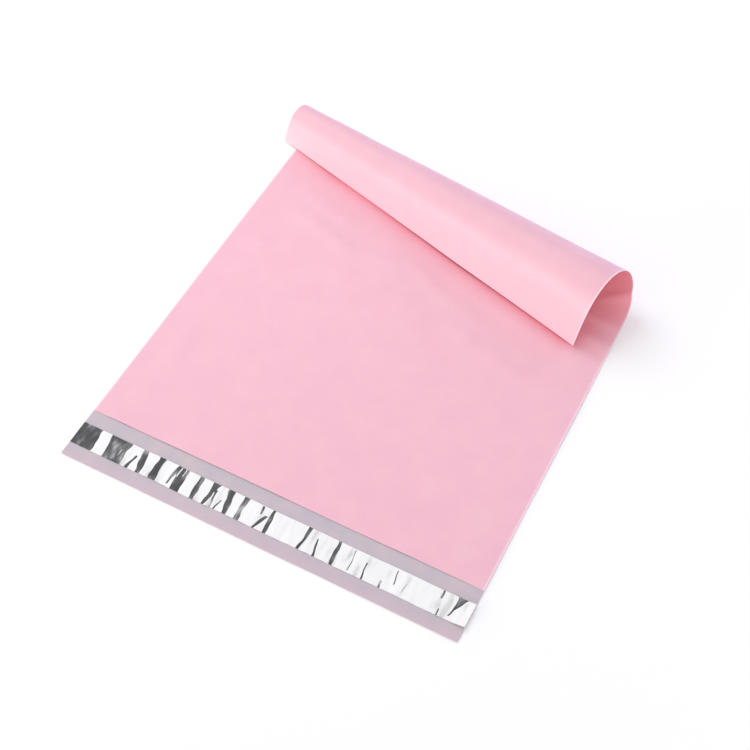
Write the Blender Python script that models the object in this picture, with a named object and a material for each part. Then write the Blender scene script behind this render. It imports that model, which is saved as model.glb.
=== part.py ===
"""Poly mailer bag, lying flat with its closed end rolled back over itself in a loose conical curl.

Metres, +Z up. X runs across the bag. Y runs along it, from the free edge of the
closing flap (-Y) towards the sealed end (+Y). The bag is one folded, side-sealed
film with a flat pocket; an adhesive strip and its release liner lie on the flap.
"""
import bpy
import bmesh
import numpy as np
from mathutils import Vector

# ---- flat sizes of the bag --------------------------------------------------
WIDTH = 0.4826            # across the bag, outer edge to outer edge
BODY = 0.6096             # pocket, mouth to sealed end
FLAP = 0.0635             # closing flap beyond the mouth
LENGTH = FLAP + BODY

# ---- thicknesses ------------------------------------------------------------
FILM = 0.0003             # one film panel
POCKET_GAP = 0.0004       # closed pocket between the two panels
SIDE_SEAL = 0.0060        # width of the sealed strip down each side
END_SEAL = 0.0060         # depth of the sealed strip at the closed end
THICK = 2 * FILM + POCKET_GAP

# ---- adhesive strip and release liner on the flap ---------------------------
LAYER_GAP = 0.0003        # clearance between stacked layers
GLUE_THICK = 0.0002
LINER_THICK = 0.0002
LINER_FROM = 0.0165       # liner edge nearest the flap's free edge
LINER_TO = 0.0455
GLUE_INSET = 0.0030       # adhesive stops short of the liner's long edges
GLUE_END = 0.0040         # and of the bag's sides

# ---- the curl: a cone-shaped bend that keeps the film's flat lengths --------
APEX_X = -1.06 * WIDTH    # cone apex, in line with the sealed end
APEX_Y = LENGTH
LIFT_Y = 0.925 * WIDTH    # where the right-hand edge leaves the ground
KNOTS = (0.0, 0.07, 0.20, 0.35, 0.50, 0.65, 0.82, 1.0)
BEND = (0.0, 11.171, 3.366, 4.954, 7.493, 4.562, 1.142, 0.0)
STATIONS = 34             # straight lines of the cone that carry the bend

BODY_NAME = "bag_body"
GLUE_NAME = "adhesive_strip"
LINER_NAME = "release_liner"


def spherical_curve(start, total, steps):
    """Directions of the cone's straight lines, and the surface normal along each."""
    ds = total / steps
    c = np.array([np.cos(start), np.sin(start), 0.0])
    t = np.array([-np.sin(start), np.cos(start), 0.0])
    dirs, norms = [c.copy()], [np.cross(c, t)]
    for i in range(steps):
        k = np.interp((i + 0.5) / steps, KNOTS, BEND) / total
        w = np.cross(c, t) + c * k
        m = np.linalg.norm(w)
        a, w = m * ds, w / m
        c = c * np.cos(a) + np.cross(w, c) * np.sin(a) + w * (w @ c) * (1 - np.cos(a))
        t = t * np.cos(a) + np.cross(w, t) * np.sin(a) + w * (w @ t) * (1 - np.cos(a))
        dirs.append(c.copy())
        norms.append(np.cross(c, t))
    return np.linspace(0.0, total, steps + 1), np.array(dirs), np.array(norms)


CONE_ANGLE = float(np.arctan2(APEX_Y - LIFT_Y, WIDTH - APEX_X))
ANGLES, DIRS, NORMS = spherical_curve(-CONE_ANGLE, CONE_ANGLE, 400)


def bend(co):
    """Flat bag point (x across, y along, height) to its place on the curled bag."""
    dx, dy = co.x - APEX_X, co.y - APEX_Y
    a = float(np.arctan2(dy, dx)) + CONE_ANGLE
    if a <= 1e-9:
        return co.copy()
    rho = float(np.hypot(dx, dy))
    c = np.array([np.interp(a, ANGLES, DIRS[:, j]) for j in range(3)])
    n = np.array([np.interp(a, ANGLES, NORMS[:, j]) for j in range(3)])
    c, n = c / np.linalg.norm(c), n / np.linalg.norm(n)
    p = np.array([APEX_X, APEX_Y, 0.0]) + rho * c + co.z * n
    return Vector(p)


def station_angles():
    """Cone lines set closer together where the film bends harder."""
    s = np.linspace(0.0, 1.0, 2001)
    k = np.interp(s, KNOTS, BEND) + 0.6
    turn = np.concatenate([[0.0], np.cumsum((k[1:] + k[:-1]) * 0.5 * np.diff(s))])
    even = np.linspace(0.0, turn[-1], STATIONS + 1)
    return np.interp(even, turn, s)[:-1] * CONE_ANGLE


def slab(bm, x0, x1, y0, y1, z0, z1):
    """A rectangular slab from a unit cube."""
    made = bmesh.ops.create_cube(bm, size=1.0)["verts"]
    for v in made:
        v.co = Vector((x0 + (v.co.x + 0.5) * (x1 - x0),
                       y0 + (v.co.y + 0.5) * (y1 - y0),
                       z0 + (v.co.z + 0.5) * (z1 - z0)))
    return made


def cut(bm, point, normal):
    """Score the surface along a plane, keeping both sides."""
    geom = bm.verts[:] + bm.edges[:] + bm.faces[:]
    bmesh.ops.bisect_plane(bm, geom=geom, dist=1e-7, plane_co=point, plane_no=normal,
                           clear_inner=False, clear_outer=False)


def faces_at(bm, y, x_lo, x_hi, z_lo, z_hi):
    """Faces standing at the given y inside a window."""
    out = []
    for f in bm.faces:
        c = f.calc_center_median()
        if (abs(c.y - y) < 1e-6 and abs(f.normal.y) > 0.9
                and x_lo < c.x < x_hi and z_lo < c.z < z_hi):
            out.append(f)
    return out


def push(bm, faces, dy):
    """Extrude a patch of faces along Y."""
    got = bmesh.ops.extrude_face_region(bm, geom=faces)["geom"]
    verts = [g for g in got if isinstance(g, bmesh.types.BMVert)]
    bmesh.ops.delete(bm, geom=faces, context="FACES_ONLY")
    bmesh.ops.translate(bm, verts=verts, vec=Vector((0.0, dy, 0.0)))


def material(name, colour, roughness):
    mat = bpy.data.materials.new(name)
    mat.use_nodes = True
    p = next(n for n in mat.node_tree.nodes if n.type == "BSDF_PRINCIPLED")
    p.inputs["Base Color"].default_value = (*colour, 1.0)
    p.inputs["Roughness"].default_value = roughness
    p.inputs["Metallic"].default_value = 0.0
    mat.diffuse_color = (*colour, 1.0)
    return mat


def finish(bm, name, mat, coll):
    bmesh.ops.recalc_face_normals(bm, faces=bm.faces[:])
    me = bpy.data.meshes.new(name)
    bm.to_mesh(me)
    bm.free()
    ob = bpy.data.objects.new(name, me)
    ob.data.materials.append(mat)
    coll.objects.link(ob)
    return ob


def film_body():
    """Folded film: back panel with the flap, front panel, sealed sides and end, open mouth."""
    bm = bmesh.new()
    slab(bm, 0.0, WIDTH, FLAP, LENGTH, 0.0, THICK)
    # score the mouth end into sealed sides, the two films and the gap between them
    for x in (SIDE_SEAL, WIDTH - SIDE_SEAL):
        cut(bm, Vector((x, 0, 0)), Vector((1, 0, 0)))
    for z in (FILM, FILM + POCKET_GAP):
        cut(bm, Vector((0, 0, z)), Vector((0, 0, 1)))
    bm.normal_update()
    # hollow the pocket from the mouth, then draw the back panel out as the flap
    push(bm, faces_at(bm, FLAP, SIDE_SEAL, WIDTH - SIDE_SEAL, FILM, FILM + POCKET_GAP),
         BODY - END_SEAL)
    bm.normal_update()
    push(bm, faces_at(bm, FLAP, 0.0, WIDTH, 0.0, FILM), -FLAP)
    bm.normal_update()
    # cone lines, then the bend
    for a in station_angles():
        d = a - CONE_ANGLE
        cut(bm, Vector((APEX_X, APEX_Y, 0)), Vector((-np.sin(d), np.cos(d), 0)))
    for v in bm.verts:
        v.co = bend(v.co)
    return bm


def strip(y0, y1, x0, x1, z0, z1):
    bm = bmesh.new()
    slab(bm, x0, x1, y0, y1, z0, z1)
    return bm


def main():
    for ob in list(bpy.data.objects):
        bpy.data.objects.remove(ob, do_unlink=True)
    coll = bpy.data.collections.new("poly_mailer_bag")
    bpy.context.scene.collection.children.link(coll)

    film = material("film_pink", (0.94, 0.55, 0.66), 0.32)
    glue = material("adhesive_clear", (0.80, 0.78, 0.74), 0.20)
    paper = material("liner_white", (0.90, 0.90, 0.90), 0.38)

    glue_z = FILM + LAYER_GAP
    liner_z = glue_z + GLUE_THICK + LAYER_GAP
    body = finish(film_body(), BODY_NAME, film, coll)
    adhesive = finish(strip(LINER_FROM + GLUE_INSET, LINER_TO - GLUE_INSET,
                            GLUE_END, WIDTH - GLUE_END, glue_z, glue_z + GLUE_THICK),
                      GLUE_NAME, glue, coll)
    liner = finish(strip(LINER_FROM, LINER_TO, 0.0, WIDTH, liner_z, liner_z + LINER_THICK),
                   LINER_NAME, paper, coll)

    # origin at the middle of the footprint, on the ground
    pts = np.array([v.co for v in body.data.vertices])
    lo, hi = pts.min(axis=0), pts.max(axis=0)
    move = Vector((-(lo[0] + hi[0]) / 2, -(lo[1] + hi[1]) / 2, -lo[2]))
    for ob in (body, adhesive, liner):
        for v in ob.data.vertices:
            v.co += move
        ob.data.update()
    print("footprint", hi - lo, "move", tuple(move))


main()
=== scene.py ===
import math
import bpy
import numpy as np
from mathutils import Matrix, Vector


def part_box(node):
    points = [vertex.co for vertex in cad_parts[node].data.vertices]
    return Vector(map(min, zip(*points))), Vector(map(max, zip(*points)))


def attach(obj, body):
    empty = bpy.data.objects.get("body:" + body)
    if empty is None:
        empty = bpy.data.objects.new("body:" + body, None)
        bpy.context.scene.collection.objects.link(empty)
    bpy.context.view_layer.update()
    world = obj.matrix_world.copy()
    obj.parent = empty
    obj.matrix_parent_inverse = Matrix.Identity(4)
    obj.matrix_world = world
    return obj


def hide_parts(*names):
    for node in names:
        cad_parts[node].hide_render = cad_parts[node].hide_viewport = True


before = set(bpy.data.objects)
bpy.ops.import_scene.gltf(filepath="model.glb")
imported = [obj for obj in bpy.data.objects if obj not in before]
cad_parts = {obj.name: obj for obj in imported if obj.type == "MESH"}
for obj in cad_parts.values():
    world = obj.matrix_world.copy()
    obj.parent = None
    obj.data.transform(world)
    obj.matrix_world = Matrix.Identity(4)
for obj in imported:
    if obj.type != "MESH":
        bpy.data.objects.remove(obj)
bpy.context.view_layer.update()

# ---------------------------------------------------------------- bag sizes
W = 0.4826
FLAP = 0.0635
BODY = 0.6096
L = FLAP + BODY
lo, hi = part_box("bag_body")
OFF = np.array([hi[0] - W, lo[1], 0.0])          # flat bag's flap corner in the row frame

FILM = 0.00014                                   # film as seen
GAP = 0.00014                                    # slack in the flat pocket
SEAL = 0.0042                                    # side seal
# the same cone as the CAD model
AX, AY = -1.06 * W, L
LIFT_Y = 0.925 * W
KNOTS = (0.0, 0.07, 0.20, 0.35, 0.50, 0.65, 0.82, 1.0)
BEND = (0.0, 11.171, 3.366, 4.954, 7.493, 4.562, 1.142, 0.0)
CONE = math.atan2(AY - LIFT_Y, W - AX)


def spherical_curve(start, total, steps):
    ds = total / steps
    c = np.array([np.cos(start), np.sin(start), 0.0])
    t = np.array([-np.sin(start), np.cos(start), 0.0])
    dirs, norms = [c.copy()], [np.cross(c, t)]
    for i in range(steps):
        k = np.interp((i + 0.5) / steps, KNOTS, BEND) / total
        w = np.cross(c, t) + c * k
        m = np.linalg.norm(w)
        a, w = m * ds, w / m
        c = c * np.cos(a) + np.cross(w, c) * np.sin(a) + w * (w @ c) * (1 - np.cos(a))
        t = t * np.cos(a) + np.cross(w, t) * np.sin(a) + w * (w @ t) * (1 - np.cos(a))
        dirs.append(c.copy())
        norms.append(np.cross(c, t))
    return np.linspace(0.0, total, steps + 1), np.array(dirs), np.array(norms)


ANG, DIRS, NORMS = spherical_curve(-CONE, CONE, 400)


def place(S, T, H):
    """Flat film (S across, T along, H above the underside) to the curled bag in the row frame."""
    dx, dy = S - AX, T - AY
    a = np.arctan2(dy, dx) + CONE
    rho = np.hypot(dx, dy)
    aa = np.clip(a, 0, CONE)
    c = np.stack([np.interp(aa, ANG, DIRS[:, j]) for j in range(3)], -1)
    n = np.stack([np.interp(aa, ANG, NORMS[:, j]) for j in range(3)], -1)
    c /= np.linalg.norm(c, axis=-1, keepdims=True)
    n /= np.linalg.norm(n, axis=-1, keepdims=True)
    curl = np.array([AX, AY, 0.0]) + rho[..., None] * c + H[..., None] * n
    flat = np.stack([S, T, H], -1)
    return np.where((a > 0)[..., None], curl, flat) + OFF


def smooth(x, a, b):
    t = np.clip((x - a) / (b - a), 0, 1)
    return t * t * (3 - 2 * t)


def waves(S, T, seed, lo_len, hi_len, n=14, aniso=1.0):
    """Smooth repeatable undulation in about -1..1, from wavelengths lo_len to hi_len metres."""
    rng = np.random.RandomState(seed)
    out = np.zeros_like(S)
    for _ in range(n):
        lam = math.exp(rng.uniform(math.log(lo_len), math.log(hi_len)))
        th = rng.uniform(0, math.pi)
        out += np.sin(2 * math.pi / lam * (S * math.cos(th) + T * aniso * math.sin(th)) + rng.uniform(0, 6.283))
    return out / math.sqrt(n)


def ridge(S, T, p, q, width, height, power=2.0):
    """A soft fold in the film from p to q, dying away at both ends."""
    p, q = np.array(p), np.array(q)
    d = q - p
    ln = np.hypot(*d)
    d = d / ln
    u = ((S - p[0]) * d[0] + (T - p[1]) * d[1]) / ln
    v = -(S - p[0]) * d[1] + (T - p[1]) * d[0]
    along = np.clip(np.sin(np.clip(u, 0, 1) * math.pi), 0, 1) ** 0.8
    return height * along * np.exp(-np.abs(v / width) ** power)


def undulation(S, T):
    """How far the film stands off the flat, always upwards."""
    u = 0.00050 * (1.0 + 0.8 * waves(S, T, 3, 0.16, 0.42))
    u += 0.00012 * (1.0 + 0.8 * waves(S, T, 8, 0.05, 0.12))
    u = np.clip(u, 0.00004, 0.0016)
    # soft folds where the right side turns up into the curl
    u += ridge(S, T, (0.352, 0.452), (0.500, 0.440), 0.0060, 0.0030)
    u += ridge(S, T, (0.385, 0.425), (0.505, 0.408), 0.0080, 0.0028)
    u += ridge(S, T, (0.310, 0.418), (0.470, 0.372), 0.0120, 0.0022)
    u += ridge(S, T, (0.440, 0.470), (0.500, 0.505), 0.0055, 0.0024)
    # faint pulls in the front panel beside the curl, and one along the left edge
    u += ridge(S, T, (0.040, 0.436), (0.160, 0.396), 0.0085, 0.00150)
    u += ridge(S, T, (0.110, 0.400), (0.235, 0.416), 0.0085, 0.00120)
    u += ridge(S, T, (0.035, 0.466), (0.135, 0.440), 0.0080, 0.00110)
    u += ridge(S, T, (0.170, 0.448), (0.285, 0.388), 0.0085, 0.00115)
    u += ridge(S, T, (0.235, 0.402), (0.360, 0.372), 0.0085, 0.00095)
    u += ridge(S, T, (0.300, 0.352), (0.430, 0.318), 0.0110, 0.00075)
    u += ridge(S, T, (0.030, 0.130), (0.046, 0.380), 0.0120, 0.00130)
    # the flap lies flatter and ripples across
    flap = 1 - smooth(T, FLAP * 0.6, FLAP * 1.6)
    rip = 0.00030 * (1 + 0.9 * waves(S, T * 0.25, 21, 0.045, 0.13))
    return u * (1 - 0.6 * flap) + flap * np.clip(rip, 0.0, 0.001)


# ---------------------------------------------------------------- mesh helpers
class Mesh:
    def __init__(self):
        self.co, self.faces, self.mats, self.n = [], [], [], 0
        self.attr = {}

    def grid(self, P, **attrs):
        r, c = P.shape[:2]
        idx = np.arange(self.n, self.n + r * c).reshape(r, c)
        self.co.append(P.reshape(-1, 3))
        for k in set(self.attr) | set(attrs):
            a = attrs.get(k)
            col = self.attr.setdefault(k, [np.zeros(self.n)] if self.n else [])
            col.append(np.zeros(r * c) if a is None else np.broadcast_to(a, (r, c)).reshape(-1))
        self.n += r * c
        return idx

    def quads(self, A, mat, flip=False):
        q = np.stack([A[:-1, :-1], A[:-1, 1:], A[1:, 1:], A[1:, :-1]], -1).reshape(-1, 4)
        self._add(q, mat, flip)

    def wall(self, a, b, mat, flip=False):
        q = np.stack([a[:-1], a[1:], b[1:], b[:-1]], -1)
        self._add(q, mat, flip)

    def _add(self, q, mat, flip):
        # every layer is split along the same diagonal, so thin layers never cross
        t = np.concatenate([q[:, [0, 1, 2]], q[:, [0, 2, 3]]])
        if flip:
            t = t[:, ::-1]
        self.faces.append(t)
        self.mats.append(np.full(len(t), mat))

    def build(self, name, materials, sharp=None):
        co = np.concatenate(self.co)
        f = np.concatenate(self.faces)
        used = np.unique(f)
        remap = np.full(len(co), -1)
        remap[used] = np.arange(len(used))
        co, f = co[used], remap[f]
        me = bpy.data.meshes.new(name)
        me.from_pydata(co.tolist(), [], f.tolist())
        for m in materials:
            me.materials.append(m)
        me.polygons.foreach_set("material_index", np.concatenate(self.mats).astype(np.int32))
        for k, parts in self.attr.items():
            at = me.attributes.new(k, "FLOAT", "POINT")
            at.data.foreach_set("value", np.concatenate(parts)[used].astype(np.float32))
        me.update()
        me.shade_smooth()
        me.set_sharp_from_angle(angle=math.radians(sharp or 50))
        ob = bpy.data.objects.new(name, me)
        bpy.context.scene.collection.objects.link(ob)
        return ob


# the line on the flat panel under the rolled edge
EX0, EX1 = DIRS[-1] * (0.0 - AX), DIRS[-1] * (W - AX)
Q0 = np.array([AX + EX0[0], AY + EX0[1]])
Q1 = np.array([AX + EX1[0], AY + EX1[1]])
QD = (Q1 - Q0) / np.hypot(*(Q1 - Q0))


# ---------------------------------------------------------------- materials
def new_mat(name):
    m = bpy.data.materials.new(name)
    m.use_nodes = True
    nt = m.node_tree
    p = next(n for n in nt.nodes if n.type == "BSDF_PRINCIPLED")
    return m, nt, p


def node(nt, kind, **kw):
    n = nt.nodes.new(kind)
    for k, v in kw.items():
        if k in n.inputs.keys():
            n.inputs[k].default_value = v
        else:
            setattr(n, k, v)
    return n


def mapped(nt, scale=(1, 1, 1)):
    tc = node(nt, "ShaderNodeTexCoord")
    mp = node(nt, "ShaderNodeMapping")
    mp.inputs["Scale"].default_value = scale
    nt.links.new(tc.outputs["Object"], mp.inputs["Vector"])
    return mp.outputs["Vector"]


def noise(nt, vec, scale, detail=2.0, rough=0.5):
    n = node(nt, "ShaderNodeTexNoise", Scale=scale, Detail=detail, Roughness=rough)
    nt.links.new(vec, n.inputs["Vector"])
    return n.outputs["Fac"]


def ramp(nt, fac, stops, interp="LINEAR"):
    r = node(nt, "ShaderNodeValToRGB")
    r.color_ramp.interpolation = interp
    e = r.color_ramp.elements
    while len(e) < len(stops):
        e.new(0.5)
    for i, (pos, col) in enumerate(stops):
        e[i].position = pos
        e[i].color = (*col, 1) if len(col) == 3 else col
    nt.links.new(fac, r.inputs["Fac"])
    return r.outputs["Color"]


def mix(nt, fac, a, b, mode="MIX"):
    m = node(nt, "ShaderNodeMix")
    m.data_type = "RGBA"
    m.blend_type = mode
    for sock, val in ((m.inputs[0], fac), (m.inputs[6], a), (m.inputs[7], b)):
        if isinstance(val, (int, float)):
            sock.default_value = val
        elif isinstance(val, tuple):
            sock.default_value = (*val, 1)
        else:
            nt.links.new(val, sock)
    return m.outputs[2]


def attribute(nt, name):
    a = node(nt, "ShaderNodeAttribute")
    a.attribute_name = name
    return a.outputs["Fac"]


def maths(nt, op, a, b=None):
    n = node(nt, "ShaderNodeMath", operation=op)
    for sock, val in zip(n.inputs, (a, b)):
        if val is None:
            continue
        if isinstance(val, (int, float)):
            sock.default_value = val
        else:
            nt.links.new(val, sock)
    return n.outputs[0]


def bump(nt, p, height, dist, strength=1.0, prev=None):
    b = node(nt, "ShaderNodeBump", Strength=strength, Distance=dist)
    nt.links.new(height, b.inputs["Height"])
    if prev is not None:
        nt.links.new(prev, b.inputs["Normal"])
    return b.outputs["Normal"]


def film_pink():
    m, nt, p = new_mat("film_pink")
    v = mapped(nt)
    cloud = noise(nt, v, 26.0, 5.0, 0.62)
    col = ramp(nt, cloud, [(0.32, (0.868, 0.474, 0.550)), (0.50, (0.884, 0.492, 0.564)), (0.68, (0.898, 0.510, 0.576))])
    # painted shade: the back film, seen as the outside of the curl, is darkened a little against the front
    col = mix(nt, attribute(nt, "back"), col, (0.90, 0.90, 0.905), "MULTIPLY")
    # painted shadow: darker, deeper red along the rolled edge, from the distance to its line on the panel
    where = node(nt, "ShaderNodeVectorMath", operation="DOT_PRODUCT")
    nt.links.new(mapped(nt), where.inputs[0])
    where.inputs[1].default_value = (float(QD[1]), float(-QD[0]), 0.0)
    zero = float((Q0[0] + OFF[0]) * QD[1] - (Q0[1] + OFF[1]) * QD[0])
    dist = maths(nt, "ABSOLUTE", maths(nt, "SUBTRACT", where.outputs["Value"], zero))
    wide = maths(nt, "MULTIPLY", maths(nt, "EXPONENT", maths(nt, "MULTIPLY", dist, -1 / 0.013)), 0.68)
    tight = maths(nt, "MULTIPLY", maths(nt, "EXPONENT", maths(nt, "MULTIPLY", dist, -1 / 0.004)), 0.30)
    deep = maths(nt, "MULTIPLY", maths(nt, "ADD", wide, tight), attribute(nt, "deep"))
    col = mix(nt, deep, col, (0.76, 0.170, 0.230))
    # painted red bounce light inside the curl and under its edge
    glow = attribute(nt, "glow")
    col = mix(nt, glow, col, (1.0, 0.375, 0.425))
    # painted light on the curl's outer face towards its rolled edge
    pale = maths(nt, "MULTIPLY", attribute(nt, "pale"), 0.50)
    col = mix(nt, pale, col, (0.97, 0.640, 0.700))
    # lighter side seals: the seal's own tone, partly a painted edge highlight
    weld = attribute(nt, "weld")
    col = mix(nt, weld, col, (0.98, 0.68, 0.74))
    nt.links.new(col, p.inputs["Base Color"])
    streak = noise(nt, mapped(nt, (1.0, 0.12, 1.0)), 60.0, 4.0, 0.6)
    r = ramp(nt, streak, [(0.3, (0.42, 0.42, 0.42)), (0.7, (0.50, 0.50, 0.50))])
    nt.links.new(r, p.inputs["Roughness"])
    n1 = bump(nt, p, noise(nt, v, 55.0, 3.0, 0.55), 0.0006, 0.35)
    n2 = bump(nt, p, noise(nt, v, 1400.0, 2.0, 0.5), 0.00003, 0.35, n1)
    nt.links.new(n2, p.inputs["Normal"])
    p.inputs["Specular IOR Level"].default_value = 0.95
    p.inputs["Sheen Weight"].default_value = 0.40
    p.inputs["Sheen Roughness"].default_value = 0.35
    p.inputs["Sheen Tint"].default_value = (0.64, 0.60, 1.0, 1)
    return m


def film_inner():
    m, nt, p = new_mat("film_inner")
    v = mapped(nt)
    cloud = noise(nt, v, 34.0, 4.0, 0.6)
    col = ramp(nt, cloud, [(0.30, (0.508, 0.460, 0.508)), (0.50, (0.556, 0.482, 0.512)), (0.70, (0.615, 0.498, 0.514))])
    outer = attribute(nt, "rim")
    col = mix(nt, outer, col, (0.62, 0.475, 0.53))
    nt.links.new(col, p.inputs["Base Color"])
    r = ramp(nt, noise(nt, v, 40.0, 3.0, 0.6), [(0.3, (0.36, 0.36, 0.36)), (0.7, (0.50, 0.50, 0.50))])
    nt.links.new(r, p.inputs["Roughness"])
    n1 = bump(nt, p, noise(nt, v, 75.0, 3.0, 0.6), 0.0007, 0.5)
    n2 = bump(nt, p, noise(nt, v, 1200.0, 2.0, 0.5), 0.00003, 0.4, n1)
    nt.links.new(n2, p.inputs["Normal"])
    return m


def liner_mat():
    m, nt, p = new_mat("liner_film")
    v = mapped(nt)
    wet = attribute(nt, "wet")
    edge = node(nt, "ShaderNodeMath", operation="ADD")
    fine = noise(nt, v, 420.0, 3.0, 0.6)
    fine2 = node(nt, "ShaderNodeMath", operation="MULTIPLY")
    nt.links.new(fine, fine2.inputs[0])
    fine2.inputs[1].default_value = 0.05
    nt.links.new(wet, edge.inputs[0])
    nt.links.new(fine2.outputs[0], edge.inputs[1])
    mask = ramp(nt, edge.outputs[0], [(0.515, (0, 0, 0)), (0.545, (1, 1, 1))])
    # white release film with soft creases, greyed by painted shade
    crease_height_and_painted_shade = noise(nt, mapped(nt, (1.0, 0.22, 1.0)), 95.0, 4.0, 0.55)
    white = ramp(nt, crease_height_and_painted_shade, [(0.28, (0.64, 0.64, 0.63)), (0.42, (0.885, 0.880, 0.855)), (0.70, (0.940, 0.935, 0.905))])
    # wetted-out film shows the dark side through; its cloudy lighter spots are painted highlights
    cloud = noise(nt, mapped(nt, (1.0, 0.45, 1.0)), 90.0, 2.5, 0.5)
    dark = ramp(nt, cloud, [(0.36, (0.066, 0.067, 0.067)), (0.50, (0.098, 0.099, 0.099)), (0.58, (0.20, 0.20, 0.20)), (0.68, (0.44, 0.44, 0.44))])
    col = mix(nt, mask, white, dark)
    nt.links.new(col, p.inputs["Base Color"])
    p.inputs["Roughness"].default_value = 0.24
    p.inputs["Specular IOR Level"].default_value = 0.38
    n1 = bump(nt, p, crease_height_and_painted_shade, 0.0010, 0.75)
    n2 = bump(nt, p, noise(nt, v, 900.0, 2.0, 0.5), 0.00003, 0.4, n1)
    nt.links.new(n2, p.inputs["Normal"])
    return m


def glue_mat():
    m, nt, p = new_mat("adhesive")
    v = mapped(nt)
    col = ramp(nt, noise(nt, v, 60.0, 3.0, 0.6), [(0.3, (0.52, 0.46, 0.50)), (0.7, (0.66, 0.60, 0.62))])
    nt.links.new(col, p.inputs["Base Color"])
    p.inputs["Roughness"].default_value = 0.18
    n1 = bump(nt, p, noise(nt, v, 240.0, 3.0, 0.6), 0.0003, 0.6)
    nt.links.new(n1, p.inputs["Normal"])
    return m


def floor_mat():
    m, nt, p = new_mat("floor_white")
    col = ramp(nt, noise(nt, mapped(nt), 1.4, 2.0, 0.5), [(0.2, (0.940, 0.937, 0.918)), (0.8, (0.950, 0.947, 0.928))])
    nt.links.new(col, p.inputs["Base Color"])
    p.inputs["Roughness"].default_value = 0.9
    p.inputs["Specular IOR Level"].default_value = 0.1
    p.inputs["Emission Color"].default_value = (1, 1, 1, 1)
    p.inputs["Emission Strength"].default_value = 0.045
    return m


PINK, INNER, LINER, GLUE = film_pink(), film_inner(), liner_mat(), glue_mat()

# ---------------------------------------------------------------- the bag
# columns across, closer at the seals; rows along, following the cone's straight lines in the curl
cols = np.concatenate([[0, 0.0005, 0.0011, 0.0018, 0.0028, SEAL], np.linspace(SEAL, W - SEAL, 97)[1:-1],
                       [W - SEAL, W - 0.0028, W - 0.0018, W - 0.0011, W - 0.0005, W]])
C0 = 5
C1 = len(cols) - 1 - C0
flap_rows = np.linspace(0, FLAP, 15)
s = np.linspace(0, 1, 2001)
k = np.interp(s, KNOTS, BEND) + 1.2
turn = np.concatenate([[0.0], np.cumsum((k[1:] + k[:-1]) * 0.5 * np.diff(s))])
NCURL = 92
angles = np.interp(np.linspace(0, turn[-1], NCURL + 1), turn, s) * CONE
NFLAT = 66
lift = AY + (cols - AX) * np.tan(-CONE)
rows = [np.full_like(cols, t) for t in flap_rows]
v = np.linspace(0, 1, NFLAT + 1)
v = np.concatenate([[0, 0.0025, 0.006, 0.012, 0.02], v[2:]])     # closer rows at the mouth
for x in v[1:]:
    rows.append(FLAP + (lift - FLAP) * x)
for a in angles[1:]:
    rows.append(AY + (cols - AX) * np.tan(a - CONE))
rows[-1] = np.full_like(cols, L)
T = np.array(rows)
S = np.broadcast_to(cols, T.shape).copy()
F = len(flap_rows) - 1
R = T.shape[0] - 1

U = undulation(S, T)
edge = np.minimum(S, W - S)
in_pocket = (T >= FLAP - 1e-9)
bead = 0.00022 * np.exp(-((edge - 0.0007) / 0.0007) ** 2)
bead = np.where(in_pocket, bead, 0.0)
seal_pinch = smooth(edge, 0.0011, SEAL)                           # pocket slack starts inside the seal
mouth = np.exp(-(T - FLAP) / 0.016) * in_pocket
lipw = 0.00055 * (1.0 + 0.75 * waves(S, S * 0, 31, 0.05, 0.17)) * smooth(edge, SEAL, 0.05)
lip = np.clip(lipw, 0.00008, 0.0014) * mouth * seal_pinch
loose = 0.00025 * (1 + 0.8 * waves(S, T, 44, 0.10, 0.25)) * smooth(edge, SEAL, 0.06) * smooth(T, FLAP, FLAP + 0.05) * (1 - smooth(T, L - 0.10, L - 0.02))
loose = np.clip(loose, 0, 0.0008)
end_bead = 0.0

H_bot = U
H_in = U + FILM
H_mid = U + FILM + GAP + lip + loose
H_top = U + 2 * FILM + GAP * (0.3 + 0.7 * seal_pinch) + bead + lip + loose
# flap edge is a single film
# lighter tone along the side seals, partly a painted edge highlight
weld = np.exp(-((edge - 0.0006) / 0.0009) ** 2) * in_pocket
rim = (1 - smooth(T, 0.0, 0.016)) * 0.8

# painted light and shade: a painted shadow on the front panel in front of the rolled edge, painted red bounce light
# inside the curl, and painted light on the curl's outer face near its rolled edge
front = -((S - Q0[0]) * -QD[1] + (T - Q0[1]) * QD[0])             # in front of the rolled edge, metres
ang_here = np.arctan2(T - AY, S - AX) + CONE
along = ((S - Q0[0]) * QD[0] + (T - Q0[1]) * QD[1]) / np.hypot(*(Q1 - Q0))
near = smooth(along, 1.03, 0.96) * (0.35 + 0.65 * smooth(along, 0.0, 0.2))
inside = smooth(-front, -0.002, 0.012) * smooth(along, 1.10, 0.99)
deep = np.where(ang_here > 0, 0.0, near)
pale = np.where(ang_here > 0, smooth(ang_here, 0.70 * CONE, CONE), 0.0)
glow = np.where(ang_here > 0, 0.55 + 0.45 * smooth(ang_here, 0, 0.3 * CONE), 0.50 * inside)

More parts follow.
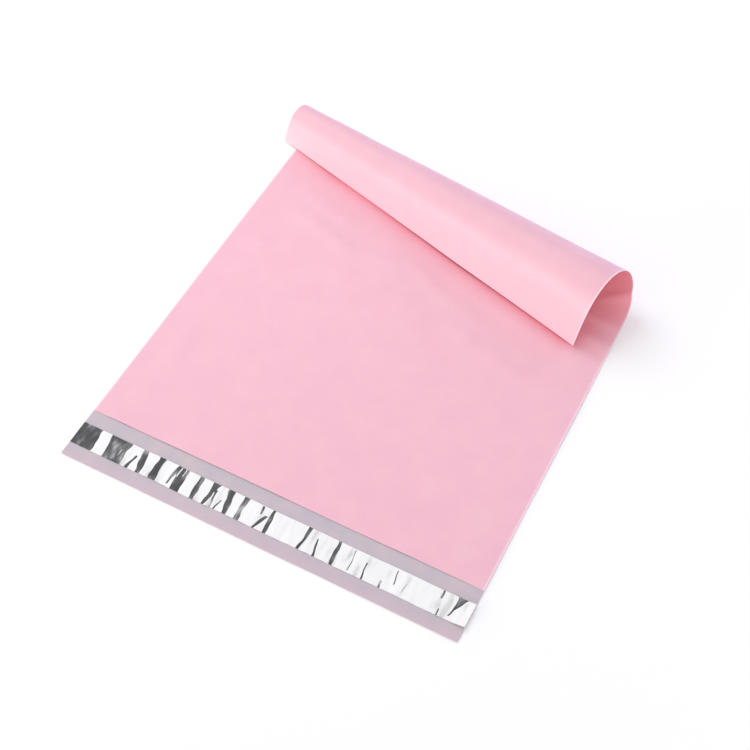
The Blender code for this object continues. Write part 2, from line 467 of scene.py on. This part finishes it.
m = Mesh()
B = m.grid(place(S, T, H_bot), weld=weld, rim=rim * 0, pale=pale, back=1.0 + 0 * S)
I = m.grid(place(S, T, H_in), weld=weld * 0, rim=rim)
M = m.grid(place(S, T, H_mid), weld=weld * 0, rim=rim * 0)
O = m.grid(place(S, T, H_top), weld=weld, rim=rim * 0, deep=deep, glow=glow)
E = R - 3                                          # pocket's inner end
m.quads(B, 0, flip=True)                           # underside
m.quads(I[:F + 1, :], 1)                           # flap's inner face
m.quads(I[F:E + 1, C0:C1 + 1], 1)                  # pocket floor
m.quads(M[F:E + 1, C0:C1 + 1], 1, flip=True)       # pocket roof
m.quads(O[F:, :], 0)                               # front panel
m.wall(B[0], I[0], 1)                              # flap's free edge
m.wall(I[:F + 1, 0], B[:F + 1, 0], 1, flip=True)
m.wall(I[:F + 1, -1], B[:F + 1, -1], 1)
m.wall(O[F:, 0], B[F:, 0], 0, flip=True)
m.wall(O[F:, -1], B[F:, -1], 0)
m.wall(O[-1], B[-1], 0, flip=False)                # sealed end
m.wall(I[F, :C0 + 1], O[F, :C0 + 1], 0)            # seal ends at the mouth
m.wall(I[F, C1:], O[F, C1:], 0)
m.wall(M[F, C0:C1 + 1], O[F, C0:C1 + 1], 0)        # front film's cut edge
m.wall(I[F:E + 1, C0], M[F:E + 1, C0], 1)          # pocket's inner sides
m.wall(I[F:E + 1, C1], M[F:E + 1, C1], 1, flip=True)
m.wall(I[E, C0:C1 + 1], M[E, C0:C1 + 1], 1, flip=True)
bag = m.build("mailer_film", [PINK, INNER])

import bmesh
bm = bmesh.new()
bm.from_mesh(bag.data)
bmesh.ops.remove_doubles(bm, verts=bm.verts[:], dist=1e-7)
open_edges = [e for e in bm.edges if len(e.link_faces) == 1]
if open_edges:
    bmesh.ops.holes_fill(bm, edges=open_edges, sides=8)
bmesh.ops.recalc_face_normals(bm, faces=bm.faces[:])
bad = [e for e in bm.edges if len(e.link_faces) != 2]
print("film open or shared edges", len(bad), "faces", len(bm.faces), "volume cm3", bm.calc_volume() * 1e6)
bm.to_mesh(bag.data)
bm.free()

# ---------------------------------------------------------------- liner and adhesive
Y0, Y1 = 0.0165, 0.0455
MARKS = [
    # (centre at the top edge, centre at the bottom edge, width top, width bottom, from, to) in mm and 0..1 across
    (12.5, 13.0, 26.5, 27.0, -0.2, 1.2),
    (50.8, 53.5, 26.0, 22.5, -0.2, 1.2),
    (77.0, 73.0, 0.8, 4.6, -0.2, 0.64),
    (83.2, 87.0, 7.6, 6.4, -0.2, 1.2),
    (103.8, 105.8, 8.4, 8.2, -0.2, 1.2),
    (131.5, 135.0, 13.5, 10.5, -0.2, 1.2),
    (126.6, 122.2, 4.2, 2.0, 0.12, 0.95),
    (154.6, 157.4, 6.4, 5.2, -0.2, 1.2),
    (174.5, 171.0, 9.2, 2.6, -0.2, 1.2),
    (176.5, 179.6, 3.6, 2.2, -0.2, 0.75),
    (190.0, 185.4, 0.5, 2.2, -0.2, 0.46),
    (193.0, 197.3, 9.2, 4.6, -0.2, 1.2),
    (211.4, 212.6, 6.0, 5.2, -0.2, 1.2),
    (232.0, 236.0, 2.6, 0.6, 0.62, 0.98),
    (246.0, 246.6, 4.0, 5.0, -0.2, 1.2),
    (245.0, 233.5, 6.0, 2.6, -0.2, 0.66),
    (289.8, 288.0, 4.4, 3.0, -0.2, 1.2),
    (301.5, 306.0, 0.5, 3.6, -0.2, 0.72),
    (324.6, 327.8, 4.4, 4.0, -0.2, 1.2),
    (344.6, 346.4, 0.9, 1.0, 0.08, 0.96),
    (361.0, 363.2, 1.0, 2.2, -0.2, 0.70),
    (380.0, 384.8, 0.2, 3.2, -0.2, 0.30),
    (394.6, 397.2, 1.7, 0.9, 0.34, 0.93),
    (411.5, 407.0, 0.9, 0.5, 0.22, 0.62),
    (446.9, 446.0, 2.2, 1.4, 0.66, 1.2),
    (450.2, 449.6, 0.3, 1.9, -0.2, 0.28),
    (468.0, 462.0, 11.5, -6.0, 0.20, 1.2),
    (466.2, 460.8, 2.8, 1.7, 0.16, 0.90),
]
# dry slivers inside the wider patches
DRY = [
    (129.3, 129.0, 1.5, 0.5, 0.56, 0.98),
    (134.6, 134.0, 1.0, 0.3, 0.66, 1.1),
    (56.5, 57.0, 0.7, 0.5, 0.30, 0.62),
    (176.0, 176.2, 0.9, 1.9, -0.2, 0.62),
]


def wet_field(S, V):
    """Above 0.5 inside the patches where the liner has wetted out on the adhesive."""
    mm = S * 1000
    out = np.full_like(S, -50.0)
    for i, (ct, cb, wt, wb, v0, v1) in enumerate(MARKS):
        x = ct * V + cb * (1 - V)
        half = 0.5 * (wt * V + wb * (1 - V))
        wob = (0.30 if wt > 12 else 0.55) * np.sin(V * 4.6 + i * 2.3) + 0.20 * np.sin(V * 11.7 + i * 4.1)
        wob2 = 0.7 * np.sin(V * 5.9 + i * 1.7) + 0.3 * np.sin(V * 13.0 + i * 3.1)
        half = half * (1 + (0.07 if wt > 12 else 0.20) * wob2)
        d = half - np.abs(mm - x - wob)
        cap = np.minimum((V - v0), (v1 - V)) * 29.0
        d = np.minimum(d, cap * 0.45 + 0.0)
        out = np.maximum(out, d)
    for i, (ct, cb, wt, wb, v0, v1) in enumerate(DRY):
        half = 0.5 * (wt * V + wb * (1 - V))
        d = half - np.abs(mm - ct * V - cb * (1 - V) - 0.3 * np.sin(V * 7.0 + i * 2.0))
        out = np.minimum(out, -np.minimum(d, np.minimum(V - v0, v1 - V) * 13.0))
    return np.clip(0.5 + out * 0.18, 0, 1)


NC, NR = 760, 44
ls = np.linspace(0, W, NC + 1)
lv = np.linspace(0, 1, NR + 1)
LS, LV = np.meshgrid(ls, lv)
wav = 0.00022 * waves(LS, LS * 0, 51, 0.05, 0.15)
LT = Y0 + (Y1 - Y0) * LV + wav
LU = undulation(LS, LT) + FILM
wet = wet_field(LS, LV)
dry = 1 - smooth(wet, 0.42, 0.60)
cre = waves(LS + LV * 0.004, LV * 0.006, 61, 0.006, 0.022, n=16)
fine = np.clip(0.00016 * (1 + cre), 0, 0.0005) * dry
end_lift = 0.0030 * smooth(LS, W - 0.016, W + 0.002) * (0.5 + 0.5 * (1 - LV)) + 0.0004 * smooth(LS, W - 0.05, W)
base = LU + 0.00016 + fine + end_lift
ln = Mesh()
TH = 0.00009
a = ln.grid(place(LS, LT, base + TH), wet=wet)
b = ln.grid(place(LS, LT, base), wet=wet * 0)
ln.quads(a, 0)
ln.quads(b, 0, flip=True)
ln.wall(b[0], a[0], 0)
ln.wall(a[-1], b[-1], 0)
ln.wall(a[:, 0], b[:, 0], 0)
ln.wall(b[:, -1], a[:, -1], 0)
liner = ln.build("liner_strip", [LINER])

gs = np.linspace(0.004, W - 0.004, 241)
gv = np.linspace(0, 1, 13)
GS, GV = np.meshgrid(gs, gv)
GT = Y0 + 0.003 + (Y1 - Y0 - 0.006) * GV
GU = undulation(GS, GT) + FILM
gm = Mesh()
rag = np.sin(GV * math.pi) ** 0.3
a = gm.grid(place(GS, GT, GU + 0.00002 + 0.00009 * rag))
b = gm.grid(place(GS, GT, GU + 0.00001))
gm.quads(a, 0)
gm.quads(b, 0, flip=True)
gm.wall(b[0], a[0], 0)
gm.wall(a[-1], b[-1], 0)
gm.wall(a[:, 0], b[:, 0], 0)
gm.wall(b[:, -1], a[:, -1], 0)
glue = gm.build("glue_layer", [GLUE])

for ob in (liner, glue):
    bm = bmesh.new()
    bm.from_mesh(ob.data)
    bmesh.ops.recalc_face_normals(bm, faces=bm.faces[:])
    print(ob.name, "open edges", len([e for e in bm.edges if len(e.link_faces) != 2]), "volume", bm.calc_volume() * 1e9)
    bm.to_mesh(ob.data)
    bm.free()

for ob, cad, slot in ((bag, "bag_body", "film_pink"), (liner, "release_liner", "liner_white"), (glue, "adhesive_strip", "adhesive_clear")):
    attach(ob, "root")
    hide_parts(cad)

# ---------------------------------------------------------------- floor, light, camera
fm = bpy.data.meshes.new("floor")
z = -0.0004
fm.from_pydata([(-6, -6, z), (6, -6, z), (6, 6, z), (-6, 6, z)], [], [(0, 1, 2, 3)])
fm.materials.append(floor_mat())
floor = bpy.data.objects.new("floor", fm)
bpy.context.scene.collection.objects.link(floor)

world = bpy.data.worlds.new("studio")
bpy.context.scene.world = world
world.use_nodes = True
bg = next(n for n in world.node_tree.nodes if n.type == "BACKGROUND")
bg.inputs["Strength"].default_value = 0.73
wt = world.node_tree
wtc = wt.nodes.new("ShaderNodeTexCoord")
wsep = wt.nodes.new("ShaderNodeSeparateXYZ")
wt.links.new(wtc.outputs["Generated"], wsep.inputs[0])
wramp = ramp(wt, wsep.outputs["Y"], [(0.0, (1.0, 1.0, 1.0)), (0.75, (0.76, 0.76, 1.0))])
wz = ramp(wt, wsep.outputs["Z"], [(0.0, (1.45, 1.45, 1.45)), (0.10, (1.32, 1.32, 1.32)), (0.34, (1.0, 1.0, 1.0))])
wt.links.new(mix(wt, 1.0, wramp, wz, "MULTIPLY"), bg.inputs["Color"])


def softbox(name, loc, target, size, watts, colour=(1, 1, 1)):
    li = bpy.data.lights.new(name, "AREA")
    li.shape = "RECTANGLE"
    li.size, li.size_y = size
    li.energy = watts
    li.color = colour
    ob = bpy.data.objects.new(name, li)
    bpy.context.scene.collection.objects.link(ob)
    ob.location = loc
    ob.rotation_euler = (Vector(target) - Vector(loc)).to_track_quat("-Z", "Y").to_euler()
    return ob


softbox("key", (-1.25, -1.65, 0.34), (0, 0.15, 0.03), (2.1, 0.55), 18.5)
top = softbox("top", (-0.7, 0.45, 1.2), (0, 0.0, 0), (1.0, 1.0), 7.0)
top.visible_glossy = False
softbox("fill", (1.3, -0.5, 0.5), (0.2, 0.2, 0.03), (0.8, 0.6), 2.4, (1.0, 0.94, 0.94))
softbox("back", (0.45, 1.9, 0.9), (0, 0.2, 0), (2.0, 0.9), 8.0, (0.80, 0.82, 1.0))

cam = bpy.data.cameras.new("cam")
cam.lens = 63.916
cam.sensor_width = 36.0
cam.clip_end = 50
co = bpy.data.objects.new("cam", cam)
bpy.context.scene.collection.objects.link(co)
pa, aa = math.radians(54.86924), math.radians(27.6015)
fwd = Vector((-math.cos(pa) * math.sin(aa), math.cos(pa) * math.cos(aa), -math.sin(pa)))
rgt = Vector((math.cos(aa), math.sin(aa), 0))
upv = Vector((-math.sin(pa) * math.sin(aa), math.sin(pa) * math.cos(aa), math.cos(pa)))
M4 = Matrix(((rgt.x, upv.x, -fwd.x), (rgt.y, upv.y, -fwd.y), (rgt.z, upv.z, -fwd.z))).to_4x4()
M4.translation = Vector((1.37552574 * W + OFF[0], -1.08808211 * W + OFF[1], 2.5845122 * W))
co.matrix_world = M4
bpy.context.scene.camera = co
bpy.context.scene.view_settings.view_transform = "Standard"
